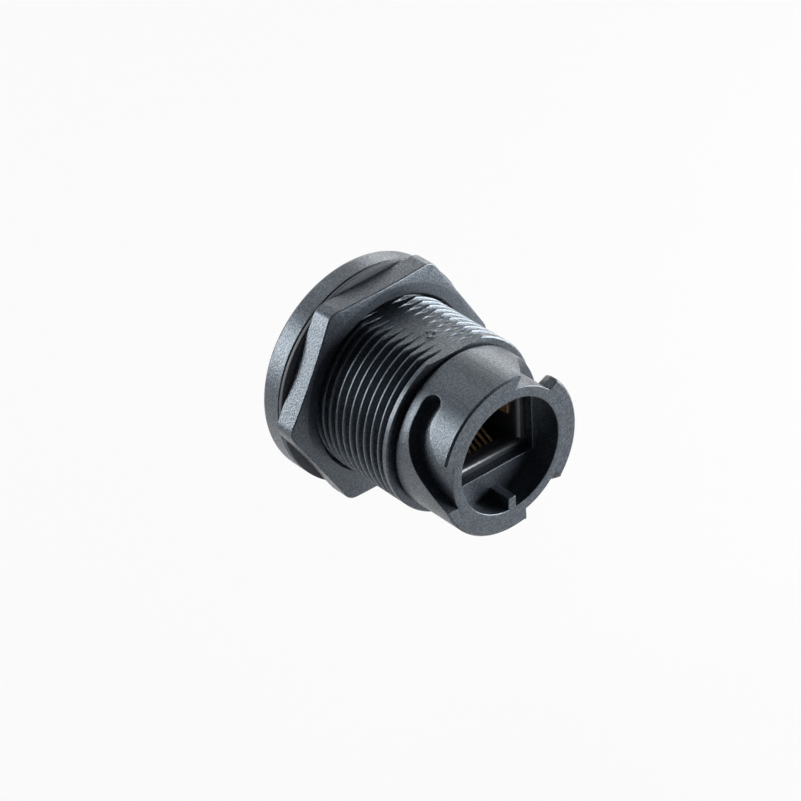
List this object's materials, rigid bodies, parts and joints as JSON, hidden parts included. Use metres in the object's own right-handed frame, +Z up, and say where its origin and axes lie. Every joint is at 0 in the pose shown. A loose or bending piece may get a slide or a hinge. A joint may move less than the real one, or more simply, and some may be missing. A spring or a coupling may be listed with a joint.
{
  "type": "ethernet panel mount coupler",
  "caption": "Round dark grey panel coupler with a flange, gasket and hex nut on a threaded barrel, a bayonet nose for a sealed plug, and a modular jack at each end.",
  "frame": {"origin": "centre of the flange's panel side, on the axis of the panel hole", "axes": "-Y along the axis towards the bayonet nose, +Z up with the key at the bottom of the mouth, +X to the right seen from the nose"},
  "size_m": [0.0362, 0.0331, 0.0342],
  "materials": {
    "housing_plastic": "fine matte moulded texture",
    "nut_plastic": "fine matte moulded texture",
    "gasket_rubber": "dull rubber",
    "jack_plastic": "smooth satin",
    "carrier_plastic": "matte black",
    "board_laminate": "green laminate",
    "plate_plastic": "fine matte moulded texture",
    "contact_gold": "gold plated",
    "spring_metal": "bright spring metal"
  },
  "bodies": {
    "coupler": {"housing": "housing_plastic", "panel_gasket": "gasket_rubber", "front_jack": "jack_plastic", "rear_jack": "jack_plastic", "front_contact_carrier": "carrier_plastic", "rear_contact_carrier": "carrier_plastic", "circuit_board": "board_laminate", "retainer_plate": "plate_plastic", "front_contact_1": "contact_gold", "front_contact_2": "contact_gold", "front_contact_3": "contact_gold", "front_contact_4": "contact_gold", "front_contact_5": "contact_gold", "front_contact_6": "contact_gold", "front_contact_7": "contact_gold", "front_contact_8": "contact_gold", "rear_contact_1": "contact_gold", "rear_contact_2": "contact_gold", "rear_contact_3": "contact_gold", "rear_contact_4": "contact_gold", "rear_contact_5": "contact_gold", "rear_contact_6": "contact_gold", "rear_contact_7": "contact_gold", "rear_contact_8": "contact_gold", "front_ground_spring_left": "spring_metal", "front_ground_spring_right": "spring_metal", "rear_ground_spring_left": "spring_metal", "rear_ground_spring_right": "spring_metal"},
    "nut": {"hex_nut": "nut_plastic"}
  },
  "joints": [
    {"name": "nut_travel", "type": "slide", "parent": "coupler", "child": "nut", "axis": [0, -1, 0], "range_m": [0, 0.013]}
  ]
}
